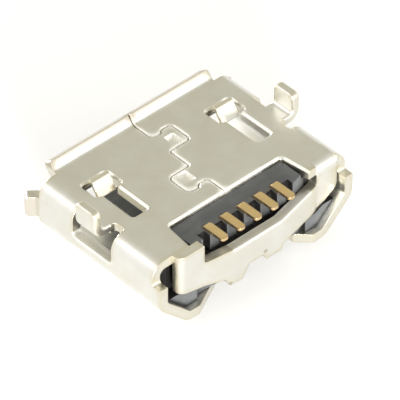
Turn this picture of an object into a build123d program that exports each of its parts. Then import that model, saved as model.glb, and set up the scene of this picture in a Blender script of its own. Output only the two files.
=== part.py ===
import os
from math import cos, radians, sin

from build123d import *

# Charging port: a five-contact receptacle whose shell is folded from one steel sheet.
# It lies with its board side up, as it comes to rest.
# +X runs across the width, +Y points out of the mouth, +Z points to the side that faces the board.
# The origin is the centre of the plug mouth, in the plane of the lip tips. Sizes are in millimetres.
# A size named start, end or length is measured backwards from the front edge of the sheet.
# A size named drop or depth is measured down from the outer face of the plate.
# A size named ahead is measured forwards from the rear edge of the plate, one named past backwards from it.
# A size named inset is measured inwards from the outer face of the side wall, or of the face that it names.

# Sheet and folded section
sheet = 0.30
shell_width = 7.50
shell_height = 2.45
side_height = 1.42
narrow_inset = 1.05
plate_corner_radius = 0.50
bevel_corner_radius = 0.50

# Rear edges of the plate and of the deeper cups beside and below the moulding
plate_length = 4.83
cup_past = 0.33
cup_step_drop = 0.70
cup_step_radius = 0.10

# Rear edge of the narrow face, cut forward in the middle
narrow_cut_ahead = 0.28
narrow_cut_left = -1.05
narrow_cut_bevel = 0.42
narrow_cut_inset = 1.53

# Flared lips of the mouth
lip_bend = 0.15
lip_angle = 52
lip_run = 0.28
lip_corner_radius = 0.12
plate_lip_inset = 0.68
narrow_lip_inset = 1.45
side_lip_drop = 0.53
side_lip_height = 0.70

# Window over the solder tails
window_ahead = 1.03
window_inset = 1.57
window_open_inset = 1.45
window_radius = 0.10
edge_break = 0.07

# Board legs, one from each side of the plate
leg_start = 1.84
leg_width = 0.84
leg_out = 0.25
leg_height = 0.67
leg_bend = 0.15
leg_overlap = 0.38
leg_corner_radius = 0.18
leg_top_radius = 0.09

# Cut-out in the side wall under each leg, with a relief beside the leg in the plate
left_leg_window_start = 1.45
right_leg_window_start = 1.28
leg_window_end = 3.10
leg_window_depth = 1.00
leg_window_radius = 0.12
leg_relief_inset = 0.37
leg_relief_rear_inset = 0.55
leg_relief_radius = 0.12

# Latch slots: a wide part, a narrow tail, and an arched spring tab in the wide part
slot_inset = 1.35
slot_start = 0.85
slot_wide = 0.95
slot_wide_end = 1.52
slot_narrow = 0.56
slot_end = 2.85
slot_radius = 0.09
tab_width = 0.66
tab_sheet = 0.10
tab_root = 0.70
tab_crest = 1.10
tab_crest_height = 0.27
tab_bend = 0.06
tab_end = 1.42
tab_end_drop = 0.26

# Seam between the two halves of the plate, with an interlocking tongue from each half
seam_gap = 0.02
seam_middle = 1.87
seam_reach = 0.82
seam_tongue_near = 0.42
seam_tongue_far = 1.30
seam_neck = 0.34
seam_shoulder = 0.12
seam_radius = 0.17
seam_corner = 0.08
seam_edge_break = 0.045

# Staking dimples pressed into the two tongues
dimple_width = 0.38
dimple_length = 0.46
dimple_depth = 0.15
dimple_draft = 35
dimple_radius = 0.05
dimple_side = 0.43
dimple_ahead = 0.74

# Rear strap: folds down from the plate at the right ear, passes behind the moulding, ends free at the left
strap_right_inset = 0.35
strap_left_inset = 0.76
right_ear_width = 0.80
left_ear_width = 0.96
ear_bend = 0.10
ear_face_past = 0.04
strap_bulge_past = 0.45
strap_bulge_right = 0.82
strap_bulge_left = -0.95
strap_bend = 0.30
strap_top_drop = 0.68
strap_notch_radius = 0.12
strap_ear_radius = 0.03
strap_left_radius = 0.06
strap_side_drop = 1.12
strap_corner = 0.45
strap_corner_drop = 1.42
strap_belly_width = 0.90
strap_belly_drop = 1.63
strap_left_drop = 1.33
strap_end_radius = 0.27
strap_play = 0.01

# Lower edge of the strap: two low lobes with a dip between them
lobe_slope = 0.12
lobe_radius = 0.05
right_lobe_right = 0.84
right_lobe_left = 0.25
right_lobe_drop = 1.80
left_lobe_right = -0.54
left_lobe_left = -1.22
left_lobe_drop = 1.97
left_lobe_root = 1.69
strap_dip_drop = 1.57

# Moulding
fit_gap = 0.01
moulding_ahead = 1.38
moulding_length = 1.47
recess_play = 0.02
window_block_drop = 0.16
window_block_play = 0.01
tongue_width = 3.70
tongue_thickness = 0.60
tongue_drop = 1.10
tongue_start = 0.55
tongue_nose = 0.12
foot_inset = 1.63
foot_drop = 1.50
body_ahead = 0.05
shoulder_ahead = 0.29
pocket_width = 0.28
pocket_length = 0.38
pocket_depth = 0.75
pocket_ahead = 0.31

# How far a cutter reaches past the material, and how closely two lengths count as the same
clear = 1.0
same = 1e-6

# Contacts
contact_count = 5
contact_pitch = 0.65
contact_width = 0.27
contact_sheet = 0.10
contact_bend = 0.10
tail_drop = 0.07
tail_front_ahead = 0.50
tail_end_past = 0.41
tail_corner_radius = 0.10
contact_tip = 0.85
outer_contact_lead = 0.12

# Places worked out from the sizes
half_width = shell_width / 2
narrow_width = shell_width - 2 * narrow_inset
narrow_cut_width = shell_width - 2 * narrow_cut_inset
narrow_cut_right = narrow_cut_width / 2 - narrow_cut_bevel
plate_lip_width = shell_width - 2 * plate_lip_inset
narrow_lip_width = shell_width - 2 * narrow_lip_inset
window_width = shell_width - 2 * window_inset
window_open_width = shell_width - 2 * window_open_inset
leg_reach = half_width + leg_out
leg_relief = half_width - leg_relief_inset
leg_relief_rear = half_width - leg_relief_rear_inset
leg_root = leg_relief - leg_overlap
slot_centre = half_width - slot_inset
strap_right = half_width - strap_right_inset
strap_left = strap_left_inset - half_width
right_ear_inner = strap_right - right_ear_width
left_ear_inner = strap_left + left_ear_width
strap_belly = strap_right - strap_belly_width
foot_inner = half_width - foot_inset
plate_top = shell_height / 2
plate_under = plate_top - sheet
narrow_face = -shell_height / 2
tongue_top = plate_top - tongue_drop
bevel_corner = plate_top - side_height
slot_reach = slot_centre + slot_wide / 2 + same
cup_length = plate_length + cup_past
narrow_cut_length = plate_length - narrow_cut_ahead
window_start = plate_length - window_ahead
ear_face = plate_length + ear_face_past
strap_bulge_face = plate_length + strap_bulge_past
moulding_start = plate_length - moulding_ahead
body_length = plate_length - body_ahead
shoulder_length = plate_length - shoulder_ahead
pocket_start = plate_length - pocket_ahead
tail_front = plate_length - tail_front_ahead
tail_end = plate_length + tail_end_past
lip_turn = radians(lip_angle)
lip_reach = (lip_bend + sheet) * sin(lip_turn) + lip_run * cos(lip_turn)


def back(length):
    """Y of a place that lies this far behind the front edge of the sheet."""
    return -lip_reach - length


def section(inset, start):
    """The folded section of the shell, inset from its outer face, at a place along the depth."""
    with BuildSketch(Plane.XZ.offset(-back(start))) as outline:
        with BuildLine():
            Polyline(
                (-half_width, plate_top),
                (half_width, plate_top),
                (half_width, bevel_corner),
                (narrow_width / 2, narrow_face),
                (-narrow_width / 2, narrow_face),
                (-half_width, bevel_corner),
                close=True,
            )
        make_face()
        rows = outline.vertices().group_by(Axis.Y)
        fillet(rows[-1], radius=plate_corner_radius)
        rows = outline.vertices().group_by(Axis.Y)
        fillet(rows[0] + rows[1], radius=bevel_corner_radius)
        if inset > 0:
            offset(amount=-inset, kind=Kind.INTERSECTION)
    return outline.sketch


def flared_lip(width):
    """A flap rolled outwards: its root edge is at Y = 0 and the sheet's outer face at Z = 0."""
    with BuildPart() as flap:
        with BuildSketch(Plane.YZ):
            with BuildLine():
                bend = CenterArc((0, lip_bend), lip_bend + sheet / 2, -90, lip_angle)
                Line(bend @ 1, bend @ 1 + (bend % 1) * lip_run)
            trace(line_width=sheet)
        extrude(amount=width / 2, both=True)
        tips = flap.edges().filter_by(lambda edge: abs(edge.length - sheet) < same).group_by(Axis.Y)[-1]
        fillet(tips, radius=lip_corner_radius)
    return flap.part


def board_leg():
    """A strip that leaves the right side of the plate and turns up towards the board."""
    with BuildPart() as leg:
        with BuildSketch(Plane.XZ.offset(-back(leg_start))):
            with BuildLine():
                turn_start = leg_reach - sheet - leg_bend
                root = Line((leg_root, plate_top - sheet / 2), (turn_start, plate_top - sheet / 2))
                bend = JernArc(root @ 1, root % 1, leg_bend + sheet / 2, 90)
                Line(bend @ 1, (leg_reach - sheet / 2, plate_top + leg_height))
            trace(line_width=sheet)
        extrude(amount=leg_width)
        tips = leg.edges().filter_by(Axis.X).group_by(Axis.Z)[-1]
        fillet(tips, radius=leg_corner_radius)
        top = leg.faces().sort_by(Axis.Z)[-1]
        fillet(top.edges().filter_by(Axis.Y), radius=leg_top_radius)
    return leg.part


def spring_tab():
    """The arched latch spring of the right slot, rooted in the plate at the front of its slot."""
    with BuildPart() as tab:
        with BuildSketch(Plane.YZ.offset(slot_centre - tab_width / 2)):
            with BuildLine():
                FilletPolyline(
                    (back(tab_root), plate_top - sheet / 2),
                    (back(slot_start), plate_top - sheet / 2),
                    (back(tab_crest), plate_top + tab_crest_height - tab_sheet / 2),
                    (back(tab_end), plate_top - tab_end_drop),
                    radius=tab_bend,
                )
            trace(line_width=tab_sheet)
        extrude(amount=tab_width)
    return tab.part


def strap_line():
    """The middle line of the strap's sheet in plan, drawn into the open line context."""
    left_line = plate_length + strap_play + sheet / 2
    right_line = ear_face - sheet / 2
    bulge_line = strap_bulge_face - sheet / 2
    FilletPolyline(
        (strap_left, back(left_line)),
        (left_ear_inner, back(left_line)),
        (strap_bulge_left, back(bulge_line)),
        (strap_bulge_right, back(bulge_line)),
        (right_ear_inner, back(right_line)),
        (strap_right, back(right_line)),
        radius=strap_bend,
    )


def strap_silhouette():
    """The outline of the strap and its ears, seen from the rear."""
    with BuildSketch(Plane.XZ.offset(-back(moulding_start))) as silhouette:
        with BuildLine():
            FilletPolyline(
                (strap_left, plate_top),
                (left_ear_inner, plate_top),
                (left_ear_inner, plate_top - strap_top_drop),
                (right_ear_inner, plate_top - strap_top_drop),
                (right_ear_inner, plate_under - ear_bend),
                (strap_right, plate_under - ear_bend),
                (strap_right, plate_top - strap_side_drop),
                (strap_right - strap_corner, plate_top - strap_corner_drop),
                (strap_belly, plate_top - strap_belly_drop),
                (right_lobe_right + lobe_slope, plate_top - strap_belly_drop),
                (right_lobe_right, plate_top - right_lobe_drop),
                (right_lobe_left, plate_top - right_lobe_drop),
                (right_lobe_left - lobe_slope, plate_top - strap_dip_drop),
                (left_lobe_right + lobe_slope, plate_top - strap_dip_drop),
                (left_lobe_right - lobe_slope, plate_top - left_lobe_drop),
                (left_lobe_left + lobe_slope / 2, plate_top - left_lobe_drop),
                (left_lobe_left - lobe_slope / 2, plate_top - left_lobe_root),
                (strap_left, plate_top - strap_left_drop),
                radius=[0, strap_ear_radius, strap_notch_radius, strap_notch_radius, 0, 0]
                + [strap_bend] * 3 + [lobe_radius] * 8 + [strap_left_radius],
                close=True,
            )
        make_face()
    return silhouette.sketch


def rear_strap():
    """The strap behind the moulding, with an ear at each end that reaches up to the plate."""
    with BuildPart() as strap:
        with BuildSketch(Plane.XY.offset(plate_top)) as plan:
            with BuildLine():
                strap_line()
            trace(line_width=sheet)
            free_end = plan.vertices().sort_by(Axis.X)[:2]
            fillet(free_end.sort_by(Axis.Y)[0], radius=strap_end_radius)
        extrude(amount=-shell_height)
        extrude(strap_silhouette(), amount=2 * clear, mode=Mode.INTERSECT)
    return strap.part


def strap_recess():
    """The room that the moulding leaves for the strap, open to the rear and to both side walls."""
    with BuildPart() as recess:
        with BuildSketch(Plane.XY.offset(plate_top + clear)):
            with BuildLine():
                strap_line()
            trace(line_width=sheet + 2 * recess_play)
            with BuildLine():
                strap_line()
                Polyline(
                    (strap_right, back(ear_face - sheet / 2)),
                    (half_width, back(ear_face - sheet / 2)),
                    (half_width, back(cup_length + clear)),
                    (-half_width, back(cup_length + clear)),
                    (-half_width, back(plate_length - sheet)),
                    (strap_left, back(plate_length - sheet)),
                    (strap_left, back(plate_length + strap_play + sheet / 2)),
                )
            make_face()
        extrude(amount=-shell_height - clear)
        with BuildSketch(Plane.XZ.offset(-back(moulding_start))):
            add(strap_silhouette())
            right_corner = (half_width, plate_top - strap_side_drop)
            left_corner = (-half_width, plate_top - strap_left_drop)
            with Locations(right_corner, left_corner):
                Rectangle(2 * (half_width - strap_corner), strap_side_drop, align=(Align.CENTER, Align.MIN))
            offset(amount=recess_play, kind=Kind.INTERSECTION)
        extrude(amount=2 * clear, mode=Mode.INTERSECT)
    return recess.part


def half_seam():
    """The front half of the seam, from the lip back to the middle, round the tongue of the left half."""
    front = back(seam_middle - seam_tongue_far)
    rear = back(seam_middle - seam_tongue_near)
    with BuildSketch() as half:
        with BuildLine():
            FilletPolyline(
                (0, 0),
                (0, front - seam_shoulder),
                (seam_neck, front - seam_shoulder),
                (seam_neck + seam_shoulder, front),
                (seam_reach, front),
                (seam_reach, rear),
                (0, rear),
                (0, back(seam_middle)),
                radius=[seam_radius, seam_corner, seam_corner, seam_radius, seam_radius, seam_corner],
            )
        trace(line_width=seam_gap)
    return half.sketch


def ear_fold():
    """The quarter turn that carries the right ear of the strap down from the plate."""
    with BuildPart() as fold:
        with BuildSketch(Plane.YZ.offset(right_ear_inner)):
            with BuildLine():
                turn_start = ear_face - sheet - ear_bend
                root_height = plate_top - sheet / 2
                root = Line((back(turn_start - sheet), root_height), (back(turn_start), root_height))
                JernArc(root @ 1, root % 1, ear_bend + sheet / 2, 90)
            trace(line_width=sheet)
        extrude(amount=strap_right - right_ear_inner)
    return fold.part


with BuildPart() as shell:
    # Folded section, its cups reaching further back than the plate
    extrude(section(0, 0), amount=cup_length)
    extrude(section(sheet, 0), amount=cup_length, mode=Mode.SUBTRACT)
    with BuildSketch(Plane.YZ.offset(-half_width)) as rear_step:
        with Locations((back(plate_length), plate_top - cup_step_drop)):
            Rectangle(clear, clear, align=(Align.MAX, Align.MIN))
        fillet(rear_step.vertices().sort_by(Axis.X)[-2:].sort_by(Axis.Y)[0], radius=cup_step_radius)
    extrude(amount=shell_width, mode=Mode.SUBTRACT)

    # Rear edge of the narrow face
    with BuildSketch(Plane.XY.offset(narrow_face)):
        with BuildLine():
            Polyline(
                (-narrow_cut_width / 2, back(cup_length)),
                (narrow_cut_left, back(narrow_cut_length)),
                (narrow_cut_right, back(narrow_cut_length)),
                (narrow_cut_right, back(cup_length - narrow_cut_bevel)),
                (narrow_cut_width / 2, back(cup_length)),
                close=True,
            )
        make_face()
    extrude(amount=sheet, mode=Mode.SUBTRACT)

    # Window over the solder tails, open to the rear
    with BuildSketch(Plane.XY.offset(plate_top)) as window:
        with BuildLine():
            Polyline(
                (-window_width / 2, back(window_start)),
                (window_width / 2, back(window_start)),
                (window_open_width / 2, back(plate_length)),
                (-window_open_width / 2, back(plate_length)),
                close=True,
            )
        make_face()
        fillet(window.vertices().group_by(Axis.Y)[-1], radius=window_radius)
    extrude(amount=-sheet, mode=Mode.SUBTRACT)

    # Side wall cut-outs and the relief in the plate behind each leg
    for side, leg_window_start in ((-1, left_leg_window_start), (1, right_leg_window_start)):
        with BuildSketch(Plane.YZ.offset(side * leg_relief)) as wall_window:
            with BuildLine():
                Polyline(
                    (back(leg_window_start), plate_top),
                    (back(leg_window_start), plate_top - leg_window_depth),
                    (back(leg_window_end), plate_top - leg_window_depth),
                    (back(leg_window_end), plate_top),
                    close=True,
                )
            make_face()
            fillet(wall_window.vertices().group_by(Axis.Y)[0], radius=leg_window_radius)
        extrude(amount=side * clear, mode=Mode.SUBTRACT)
    with BuildSketch(Plane.XY.offset(plate_top)) as rear_relief:
        for side in (-1, 1):
            with Locations((side * half_width, back(leg_window_end))):
                Rectangle(
                    2 * (half_width - leg_relief_rear),
                    leg_window_end - leg_start - leg_width,
                    align=(Align.CENTER, Align.MIN),
                )
        fillet(rear_relief.vertices(), radius=leg_relief_radius)
    extrude(amount=-plate_corner_radius, mode=Mode.SUBTRACT)

    # Latch slots
    with BuildSketch(Plane.XY.offset(plate_top)) as slots:
        for side in (-1, 1):
            with Locations((side * slot_centre, back(slot_start))):
                Rectangle(slot_wide, slot_wide_end - slot_start, align=(Align.CENTER, Align.MAX))
                Rectangle(slot_narrow, slot_end - slot_start, align=(Align.CENTER, Align.MAX))
        fillet(slots.vertices(), radius=slot_radius)
    extrude(amount=-sheet, mode=Mode.SUBTRACT)

    # Broken upper edges of the window and the slots
    plate_face = shell.faces().sort_by(Axis.Z)[-1]
    rims = plate_face.edges().filter_by_position(Axis.X, -slot_reach, slot_reach)
    rims = rims.filter_by_position(Axis.Y, back(plate_length) + same, back(slot_start) + same)
    chamfer(rims, length=edge_break)

    # Bent pieces of the same sheet: legs, spring tabs, ear fold, strap
    add(board_leg())
    add(mirror(board_leg(), about=Plane.YZ, mode=Mode.PRIVATE))
    add(spring_tab())
    add(mirror(spring_tab(), about=Plane.YZ, mode=Mode.PRIVATE))
    with BuildSketch(Plane.XY.offset(plate_top)):
        with Locations(((right_ear_inner + strap_right) / 2, back(plate_length))):
            Rectangle(
                strap_right - right_ear_inner,
                plate_length - (ear_face - sheet - ear_bend),
                align=(Align.CENTER, Align.MIN),
            )
    extrude(amount=-sheet, mode=Mode.SUBTRACT)
    add(ear_fold())
    add(rear_strap())

    # Flared lips on the four sides of the mouth
    side_lip_middle = plate_top - side_lip_drop - side_lip_height / 2
    add(flared_lip(plate_lip_width).moved(Location((0, back(0), plate_top))))
    add(flared_lip(narrow_lip_width).moved(Location((0, back(0), narrow_face), (0, 180, 0))))
    add(flared_lip(side_lip_height).moved(Location((half_width, back(0), side_lip_middle), (0, 90, 0))))
    add(flared_lip(side_lip_height).moved(Location((-half_width, back(0), side_lip_middle), (0, -90, 0))))

    # Seam: each half of the plate has one tongue, and the two are alike half a turn apart
    for turn in (0, 180):
        seam = half_seam().rotate(Axis((0, back(seam_middle), 0), (0, 0, 1)), turn)
        extrude(seam.moved(Location((0, 0, plate_under))), amount=sheet + clear, mode=Mode.SUBTRACT)
    seam_rims = shell.edges().filter_by_position(Axis.Z, plate_top - same, plate_top + same)
    seam_rims = seam_rims.filter_by_position(Axis.X, -seam_reach - seam_gap, seam_reach + seam_gap)
    seam_rims = seam_rims.filter_by_position(Axis.Y, back(window_start), back(same))
    chamfer(seam_rims, length=seam_edge_break)

    # Staking dimples
    with BuildSketch(Plane.XY.offset(plate_top)) as dimples:
        for side in (-1, 1):
            with Locations((side * dimple_side, back(seam_middle - side * dimple_ahead))):
                RectangleRounded(dimple_width, dimple_length, dimple_radius)
    extrude(amount=-dimple_depth, taper=dimple_draft, mode=Mode.SUBTRACT)

with BuildPart() as insulator:
    # Rear body that fills the section
    extrude(section(sheet + fit_gap, moulding_start), amount=moulding_length)
    # Block that rises into the window
    with BuildSketch(Plane.XY.offset(plate_under - fit_gap)):
        with Locations((0, back(window_start + window_block_play))):
            Rectangle(
                window_width - 2 * window_block_play,
                moulding_start + moulding_length - window_start - window_block_play,
                align=(Align.CENTER, Align.MAX),
            )
    extrude(amount=sheet + fit_gap - window_block_drop)
    # Tongue with a chamfered nose
    with BuildSketch(Plane.XY.offset(tongue_top)):
        with Locations((0, back(tongue_start))):
            Rectangle(tongue_width, moulding_start - tongue_start + clear, align=(Align.CENTER, Align.MAX))
    extrude(amount=-tongue_thickness)
    nose = insulator.faces().sort_by(Axis.Y)[-1]
    chamfer(nose.edges().filter_by(Axis.X), length=tongue_nose)
    # Core-pin pockets between and beside the tails
    with BuildSketch(Plane.XY.offset(plate_top)):
        with Locations((0, back(pocket_start + pocket_length / 2))):
            with GridLocations(contact_pitch, 1, contact_count + 1, 1):
                Rectangle(pocket_width, pocket_length)
    extrude(amount=-pocket_depth, mode=Mode.SUBTRACT)
    # Rear face: set forward in the middle and further behind the ears, which leaves a foot in each cup
    with BuildSketch(Plane.XZ.offset(-back(body_length))):
        Rectangle(2 * foot_inner, 2 * shell_height)
    extrude(amount=clear, mode=Mode.SUBTRACT)
    with BuildSketch(Plane.XZ.offset(-back(shoulder_length))):
        for side in (-1, 1):
            with Locations((side * half_width, plate_top)):
                Rectangle(2 * window_open_inset, 2 * foot_drop)
    extrude(amount=clear, mode=Mode.SUBTRACT)
    # Room for the strap
    add(strap_recess(), mode=Mode.SUBTRACT)

contacts = []
for index in range(contact_count):
    place = (index - (contact_count - 1) / 2) * contact_pitch
    outer = index in (0, contact_count - 1)
    tip = contact_tip - (outer_contact_lead if outer else 0)
    with BuildPart() as contact:
        with BuildSketch(Plane.YZ.offset(place - contact_width / 2)):
            with BuildLine():
                tail_line = plate_top - tail_drop - contact_sheet / 2
                strip_line = tongue_top - contact_sheet / 2
                FilletPolyline(
                    (back(tail_end), tail_line),
                    (back(tail_front + contact_sheet / 2), tail_line),
                    (back(tail_front + contact_sheet / 2), strip_line),
                    (back(tip), strip_line),
                    radius=contact_bend + contact_sheet / 2,
                )
            trace(line_width=contact_sheet)
        extrude(amount=contact_width)
        upright = contact.edges().filter_by(Axis.Z)
        ends = upright.filter_by(lambda edge: abs(edge.length - contact_sheet) < same)
        fillet(ends, radius=tail_corner_radius)
    contact.part.label = f"contact_{index + 1}"
    contacts.append(contact.part)

with BuildPart() as moulding:
    # The contacts are moulded in, so their own shapes are cut out of the plastic
    add(insulator.part)
    for strip in contacts:
        add(strip, mode=Mode.SUBTRACT)

shell.part.label = "shell"
moulding.part.label = "insulator"

os.makedirs("parts", exist_ok=True)
for piece in [shell.part, moulding.part] + contacts:
    export_step(piece, f"parts/{piece.label}.step")
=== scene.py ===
import math

import bpy
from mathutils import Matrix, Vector


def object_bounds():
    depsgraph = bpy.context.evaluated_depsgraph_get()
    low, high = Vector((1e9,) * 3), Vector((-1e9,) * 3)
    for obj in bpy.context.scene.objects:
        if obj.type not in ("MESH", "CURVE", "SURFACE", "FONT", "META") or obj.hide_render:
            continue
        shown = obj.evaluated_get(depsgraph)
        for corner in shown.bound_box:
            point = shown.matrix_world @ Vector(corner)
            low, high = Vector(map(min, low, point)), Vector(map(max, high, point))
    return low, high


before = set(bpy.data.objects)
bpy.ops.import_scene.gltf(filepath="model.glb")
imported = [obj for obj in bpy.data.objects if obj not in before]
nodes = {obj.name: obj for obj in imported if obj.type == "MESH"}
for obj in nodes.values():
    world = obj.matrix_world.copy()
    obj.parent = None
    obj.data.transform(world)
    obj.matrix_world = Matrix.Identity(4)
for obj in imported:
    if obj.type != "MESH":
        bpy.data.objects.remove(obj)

cad_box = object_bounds()
MM = 0.001
CONTACTS = 5

# Camera at the photograph's viewing angle, in degrees, with a long lens
AZIMUTH = -42.6
ELEVATION = 41.5
TARGET = Vector((0.129, -3.124, 0.0)) * MM
FRAME_WIDTH = 11.53 * MM
LENS = 420.0
SENSOR = 36.0

# Lamps: azimuth and elevation in degrees, distance and size in metres, and power in watts
LAMPS = {
    "window": (-132, 36, 0.12, 0.06, 0.006),
    "fill": (33, 22, 0.12, 0.06, 0.008),
    "front": (-30, 5, 0.10, 0.012, 0.14),
    "mouth": (180, 8, 0.10, 0.012, 0.06),
}

# Studio: the ceiling fades in between two elevations in degrees, and the wall beyond the object
# between two cosines of the angle to its direction
WHITE = (1.0, 1.0, 1.0, 1)
STUDIO = (1.0, 1.0, 0.99, 1)
CEILING = (0.58, 0.56, 0.49, 1)
CEILING_FADE = (36, 54)
WALL = (0.555, 0.542, 0.458, 1)
WALL_DIRECTION = (0.507, 0.551, 0.663)
WALL_FADE = (0.74, 0.90)

# Floor: how far it reaches in metres, its paint, and the light that camera and glossy rays see
FLOOR_REACH = 0.6
FLOOR_PAINT = (0.80, 0.80, 0.80, 1)
FLOOR_GLOW = 0.32
FLOOR_GLOW_MIRRORED = 0.15

# Tones of the shell's plating: its sheet and cut faces, painted shade, a painted highlight and
# painted shadows
TIN_DULL = (0.90, 0.886, 0.81, 1)
TIN_BRIGHT = (0.95, 0.94, 0.89, 1)
TIN_GRAIN = (0.74, 0.72, 0.63, 1)
TIN_CUT = (0.86, 0.81, 0.67, 1)
TIN_RIM_SHADE = (0.55, 0.50, 0.40, 1)
TIN_SIDE_LIP_SHADE = (0.78, 0.73, 0.64, 1)
TIN_CUT_HIGHLIGHT = (0.99, 0.98, 0.93, 1)
TIN_PAINTED_SHADOW = (0.60, 0.56, 0.44, 1)

# Tones of the contacts and of the moulding
GOLD_DULL = (0.90, 0.66, 0.32, 1)
GOLD_BRIGHT = (0.965, 0.735, 0.375, 1)
GOLD_GRAIN = (0.62, 0.42, 0.17, 1)
GOLD_CUT = (0.58, 0.41, 0.27, 1)
SLATE_DARK = (0.111, 0.118, 0.121, 1)
SLATE_PALE = (0.143, 0.150, 0.153, 1)
SLATE_TEXTURE = (0.18, 0.184, 0.182, 1)
SLATE_POCKET_SHADE = (0.012, 0.011, 0.010, 1)

# How far a cut face or a pocket looks for other faces, and how round edges look, in millimetres,
# with the samples that each takes
SHEET_REACH = 0.25
CONTACT_REACH = 0.083
POCKET_REACH = 0.85
SHELL_EDGE = 0.035
SMALL_EDGE = 0.03
OCCLUSION_SAMPLES = 12
BEVEL_SAMPLES = 6

# The share of a noise's range that a blend uses
BROAD = (0.3, 0.7)
NARROW = (0.35, 0.65)

# Places where the shell gets painted shade, or rougher cut faces with a painted highlight: ranges
# in X, Y and Z, in millimetres
TOP_LIP_RIM = ((-4.2, 4.2), (-0.48, 0.2), (1.30, 2.0))
LEFT_LIP = ((-4.2, -3.72), (-0.48, 0.2), (-1.0, 1.0))
RIGHT_LIP = ((3.72, 4.2), (-0.48, 0.2), (-1.0, 1.0))
SEAM = ((-1.4, 1.4), (-4.3, -0.65), (0.90, 1.30))
RIGHT_SLOT = ((2.3, 3.0), (-4.0, -1.9), (0.90, 1.30))
STRAP_UPPER_EDGE = ((-1.0, 2.3), (-6.0, -5.38), (0.38, 0.75))
LEFT_SILL = ((-4.2, -3.4), (-4.2, -1.4), (0.12, 0.30))
RIGHT_SILL = ((3.4, 4.2), (-4.2, -1.4), (0.12, 0.30))
PLACE_FADE = 0.08

# Two small painted shadows on the lobes of the rear strap: centre and radius in millimetres.
# Each fades out between two shares of its radius.
STRAP_SHADOWS = (((0.21, -5.81, -0.25), 0.07), ((-1.15, -5.78, -0.70), 0.08))
SHADOW_FADE = (0.6, 1.4)

# The Mix node has sockets for each type of data. These are the ones for colours.
MIX_FACTOR = 0
MIX_FIRST = 6
MIX_SECOND = 7
MIX_RESULT = 2


class Nodes:
    """Short calls for building a node tree."""

    def __init__(self, tree):
        self.tree = tree
        tree.nodes.clear()

    def add(self, kind, **settings):
        node = self.tree.nodes.new(kind)
        for name, value in settings.items():
            setattr(node, name, value)
        return node

    def feed(self, socket, value):
        """Link an output to the socket, or give the socket a constant."""
        if isinstance(value, bpy.types.NodeSocket):
            self.tree.links.new(value, socket)
        else:
            socket.default_value = value

    def put(self, node, **values):
        """Feed the node's inputs by name, with underscores for spaces."""
        for name, value in values.items():
            self.feed(node.inputs[name.replace("_", " ")], value)

    def noise(self, vector, scale, detail=2.0, rough=0.5):
        node = self.add("ShaderNodeTexNoise")
        self.put(node, Vector=vector, Scale=scale, Detail=detail, Roughness=rough)
        return node.outputs["Fac"]

    def ramp(self, value, low, high, out_low=0.0, out_high=1.0, **settings):
        node = self.add("ShaderNodeMapRange", **settings)
        self.put(node, Value=value, From_Min=low, From_Max=high, To_Min=out_low, To_Max=out_high)
        return node.outputs["Result"]

    def combine(self, operation, first, second):
        node = self.add("ShaderNodeMath", operation=operation)
        self.feed(node.inputs[0], first)
        self.feed(node.inputs[1], second)
        return node.outputs["Value"]

    def compare(self, operation, first, second):
        """One number from two vectors, such as their distance."""
        node = self.add("ShaderNodeVectorMath", operation=operation)
        self.feed(node.inputs[0], first)
        self.feed(node.inputs[1], second)
        return node.outputs["Value"]

    def mix(self, factor, first, second):
        node = self.add("ShaderNodeMix", data_type="RGBA")
        self.feed(node.inputs[MIX_FACTOR], factor)
        self.feed(node.inputs[MIX_FIRST], first)
        self.feed(node.inputs[MIX_SECOND], second)
        return node.outputs[MIX_RESULT]

    def split(self, vector):
        node = self.add("ShaderNodeSeparateXYZ")
        self.put(node, Vector=vector)
        return node.outputs

    def bump(self, height, distance, strength, normal):
        node = self.add("ShaderNodeBump")
        self.put(node, Height=height, Distance=distance, Strength=strength, Normal=normal)
        return node.outputs["Normal"]

    def closed_in(self, reach, low, high, **settings):
        """1 where a point is less open than low, and 0 where it is more open than high.

        Faces within reach, in millimetres, close a point in. Openness runs from 0 to 1.
        """
        node = self.add("ShaderNodeAmbientOcclusion", samples=OCCLUSION_SAMPLES, **settings)
        self.put(node, Distance=reach * MM)
        return self.ramp(node.outputs["AO"], high, low)

    def cut_faces(self, reach, low, high):
        """1 on a sheet's cut faces, which lie between its broad faces, and 0 on the broad ones."""
        return self.closed_in(reach, low, high, inside=True, only_local=True)

    def within(self, axes, *places):
        """1 inside any of the places and 0 outside them, with soft sides."""
        found = 0.0
        for place in places:
            inside = 1.0
            for axis, (start, end) in zip("XYZ", place):
                rise = self.ramp(axes[axis], start - PLACE_FADE, start)
                fall = self.ramp(axes[axis], end + PLACE_FADE, end)
                side = self.combine("MULTIPLY", rise, fall)
                inside = self.combine("MULTIPLY", inside, side)
            found = self.combine("MAXIMUM", found, inside)
        return found

    def mark(self, place, centre, radius):
        """1 in a small round painted shadow and 0 outside it."""
        inner, outer = SHADOW_FADE
        away = self.compare("DISTANCE", place, centre)
        return self.ramp(away, radius * outer, radius * inner)

    def rounded(self, radius):
        """The normal with its edges rounded, by a radius in millimetres."""
        node = self.add("ShaderNodeBevel", samples=BEVEL_SAMPLES)
        self.put(node, Radius=radius * MM)
        return node.outputs["Normal"]

    def millimetres(self, stretch=(1, 1, 1)):
        """The point on the object in millimetres, times the stretch along each axis."""
        point = self.add("ShaderNodeTexCoord").outputs["Object"]
        node = self.add("ShaderNodeMapping")
        self.put(node, Vector=point, Scale=[part / MM for part in stretch])
        return node.outputs["Vector"]


def new_material(name):
    material = bpy.data.materials.new(name)
    material.use_nodes = True
    build = Nodes(material.node_tree)
    shader = build.add("ShaderNodeBsdfPrincipled")
    output = build.add("ShaderNodeOutputMaterial")
    build.put(output, Surface=shader.outputs["BSDF"])
    return material, build, shader


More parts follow.
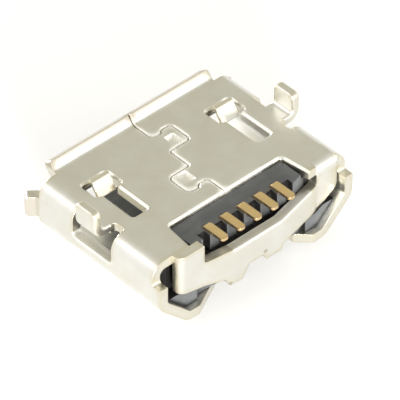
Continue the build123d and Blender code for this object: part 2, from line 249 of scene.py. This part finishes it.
def plated_steel():
    """Satin tin plating: fine grain, faint rolling lines, a mottled tone and browner cut faces.

    Some cut faces are coarser, and paler from a painted highlight. The rim of the top lip and
    the side lips are darker from painted shade, and the strap has two painted shadows.
    """
    material, build, shader = new_material("tin_plated_steel")
    place = build.millimetres()
    axes = build.split(place)
    grain = build.noise(place, scale=42.0, detail=3.0, rough=0.6)
    mottle = build.noise(place, scale=1.3, detail=3.0, rough=0.55)
    rolled = build.noise(build.millimetres(stretch=(26.0, 0.9, 9.0)), scale=1.0)

    cut = build.cut_faces(SHEET_REACH, low=0.60, high=0.80)
    # Painted shade: the cut faces on the rim of the top lip are painted darker.
    rim_shade = build.combine("MULTIPLY", cut, build.within(axes, TOP_LIP_RIM))
    # Painted shade: the side lips are painted darker.
    side_lip_shade = build.within(axes, LEFT_LIP, RIGHT_LIP)
    # Some cut faces are rougher and also painted paler: a painted highlight.
    coarse_and_highlight_places = build.within(axes, SEAM, RIGHT_SLOT, STRAP_UPPER_EDGE, LEFT_SILL, RIGHT_SILL)
    coarse_and_highlight = build.combine("MULTIPLY", cut, coarse_and_highlight_places)

    tone = build.mix(build.ramp(mottle, *NARROW), TIN_DULL, TIN_BRIGHT)
    tone = build.mix(build.ramp(grain, *BROAD, out_high=0.22), tone, TIN_GRAIN)
    tone = build.mix(cut, tone, TIN_CUT)
    tone = build.mix(rim_shade, tone, TIN_RIM_SHADE)
    tone = build.mix(side_lip_shade, tone, TIN_SIDE_LIP_SHADE)
    tone = build.mix(coarse_and_highlight, tone, TIN_CUT_HIGHLIGHT)
    # Painted shadows: two small dark spots on the lobes of the strap.
    for centre, radius in STRAP_SHADOWS:
        tone = build.mix(build.mark(place, centre, radius), tone, TIN_PAINTED_SHADOW)

    fine = build.combine("MULTIPLY", grain, 0.6)
    patchy = build.combine("MULTIPLY", mottle, 0.4)
    rough = build.ramp(build.combine("ADD", fine, patchy), *BROAD, out_low=0.28, out_high=0.38)
    rough = build.combine("ADD", rough, build.combine("MULTIPLY", coarse_and_highlight, 0.40))

    normal = build.rounded(SHELL_EDGE)
    normal = build.bump(rolled, distance=0.0010 * MM, strength=0.30, normal=normal)
    normal = build.bump(grain, distance=0.0016 * MM, strength=0.45, normal=normal)
    build.put(shader, Base_Color=tone, Roughness=rough, Normal=normal, Metallic=1.0)
    return material


def gold_plating():
    """Satin gold on the contacts: a little uneven, lines along each strip, browner cut faces."""
    material, build, shader = new_material("satin_gold")
    place = build.millimetres()
    grain = build.noise(place, scale=11.0)
    mottle = build.noise(place, scale=2.4)
    lines = build.noise(build.millimetres(stretch=(34.0, 1.2, 5.0)), scale=1.0)

    tone = build.mix(build.ramp(mottle, *NARROW), GOLD_DULL, GOLD_BRIGHT)
    tone = build.mix(build.ramp(grain, *BROAD, out_high=0.10), tone, GOLD_GRAIN)
    cut = build.cut_faces(CONTACT_REACH, low=0.50, high=0.68)
    tone = build.mix(cut, tone, GOLD_CUT)
    rough = build.ramp(grain, *BROAD, out_low=0.29, out_high=0.35)
    normal = build.rounded(SMALL_EDGE)
    normal = build.bump(lines, distance=0.0012 * MM, strength=0.4, normal=normal)
    build.put(shader, Base_Color=tone, Roughness=rough, Normal=normal, Metallic=1.0)
    return material


def slate_plastic():
    """Glass-filled moulding: slate grey, fine matte texture, faint flow marks, painted shade in
    pockets.
    """
    material, build, shader = new_material("slate_moulding")
    place = build.millimetres()
    texture = build.noise(place, scale=55.0, detail=4.0, rough=0.65)
    flow = build.noise(build.millimetres(stretch=(1.0, 3.0, 1.0)), scale=1.6, detail=3.0)

    tone = build.mix(build.ramp(flow, *NARROW), SLATE_DARK, SLATE_PALE)
    pale_grain = build.ramp(texture, low=0.45, high=0.75, out_high=0.35)
    tone = build.mix(pale_grain, tone, SLATE_TEXTURE)
    # Painted shade: the pockets between the contacts are painted near black.
    pocket_shade = build.closed_in(POCKET_REACH, low=0.54, high=0.70)
    tone = build.mix(pocket_shade, tone, SLATE_POCKET_SHADE)
    rough = build.ramp(texture, *BROAD, out_low=0.42, out_high=0.6)
    normal = build.rounded(SMALL_EDGE)
    normal = build.bump(texture, distance=0.004 * MM, strength=0.5, normal=normal)
    build.put(shader, Base_Color=tone, Roughness=rough, Normal=normal, IOR=1.5)
    return material


def dress(node, material):
    mesh = nodes[node].data
    mesh.materials.clear()
    mesh.materials.append(material)


def add_object(name, data):
    item = bpy.data.objects.new(name, data)
    bpy.context.scene.collection.objects.link(item)
    return item


def aim(item, azimuth, elevation, distance):
    """Put the camera or a lamp at these angles from the target, in degrees, and face it."""
    turn = math.radians(azimuth)
    rise = math.radians(elevation)
    direction = Vector((
        math.sin(turn) * math.cos(rise),
        -math.cos(turn) * math.cos(rise),
        math.sin(rise),
    ))
    item.location = TARGET + direction * distance
    item.rotation_mode = "QUATERNION"
    item.rotation_quaternion = (-direction).to_track_quat("-Z", "Y")


def make_camera():
    data = bpy.data.cameras.new("camera")
    distance = FRAME_WIDTH * LENS / SENSOR
    data.lens = LENS
    data.sensor_width = SENSOR
    data.clip_start = distance * 0.1
    data.clip_end = distance * 10
    camera = add_object("camera", data)
    aim(camera, AZIMUTH, ELEVATION, distance)
    bpy.context.scene.camera = camera


def add_lamp(name, azimuth, elevation, distance, size, power):
    """A soft round lamp that faces the object."""
    data = bpy.data.lights.new(name, "AREA")
    data.shape = "DISK"
    data.size = size
    data.energy = power
    aim(add_object(name, data), azimuth, elevation, distance)


def make_floor(level):
    """Plain floor. Camera, transmission and glossy rays see it lit, less the object's shadow."""
    material, build, shader = new_material("white_floor")
    rays = build.add("ShaderNodeLightPath").outputs
    seen = build.combine("MAXIMUM", rays["Is Camera Ray"], rays["Is Transmission Ray"])
    glow = build.combine("MULTIPLY", seen, FLOOR_GLOW)
    mirrored = build.combine("MULTIPLY", rays["Is Glossy Ray"], FLOOR_GLOW_MIRRORED)
    build.put(
        shader,
        Base_Color=FLOOR_PAINT,
        Roughness=1.0,
        Specular_IOR_Level=0.0,
        Emission_Color=WHITE,
        Emission_Strength=build.combine("ADD", glow, mirrored),
    )
    reach = FLOOR_REACH
    corners = [
        (-reach, -reach, level),
        (reach, -reach, level),
        (reach, reach, level),
        (-reach, reach, level),
    ]
    mesh = bpy.data.meshes.new("floor")
    mesh.from_pydata(corners, [], [(0, 1, 2, 3)])
    mesh.materials.append(material)
    floor = add_object("floor", mesh)


def make_world():
    """Soft studio: white, with a warm grey wall beyond the object and a grey ceiling."""
    world = bpy.data.worlds.new("studio")
    world.use_nodes = True
    build = Nodes(world.node_tree)
    direction = build.add("ShaderNodeTexCoord").outputs["Generated"]
    height = build.split(direction)["Z"]
    fade = [math.sin(math.radians(angle)) for angle in CEILING_FADE]
    overhead = build.ramp(height, *fade, interpolation_type="SMOOTHSTEP")
    towards_wall = build.compare("DOT_PRODUCT", direction, WALL_DIRECTION)
    beyond = build.ramp(towards_wall, *WALL_FADE, interpolation_type="SMOOTHSTEP")
    rays = build.add("ShaderNodeLightPath").outputs

    tone = build.mix(overhead, STUDIO, CEILING)
    tone = build.mix(beyond, tone, WALL)
    tone = build.mix(rays["Is Camera Ray"], tone, WHITE)
    shade = build.add("ShaderNodeBackground")
    build.put(shade, Color=tone, Strength=1.0)
    output = build.add("ShaderNodeOutputWorld")
    build.put(output, Surface=shade.outputs["Background"])
    bpy.context.scene.world = world


make_camera()
dress("shell", plated_steel())
gold = gold_plating()
dress("insulator", slate_plastic())
for number in range(1, CONTACTS + 1):
    dress(f"contact_{number}", gold)

make_floor(cad_box[0].z)
make_world()
for name, settings in LAMPS.items():
    add_lamp(name, *settings)

bpy.context.scene.view_settings.view_transform = "Standard"
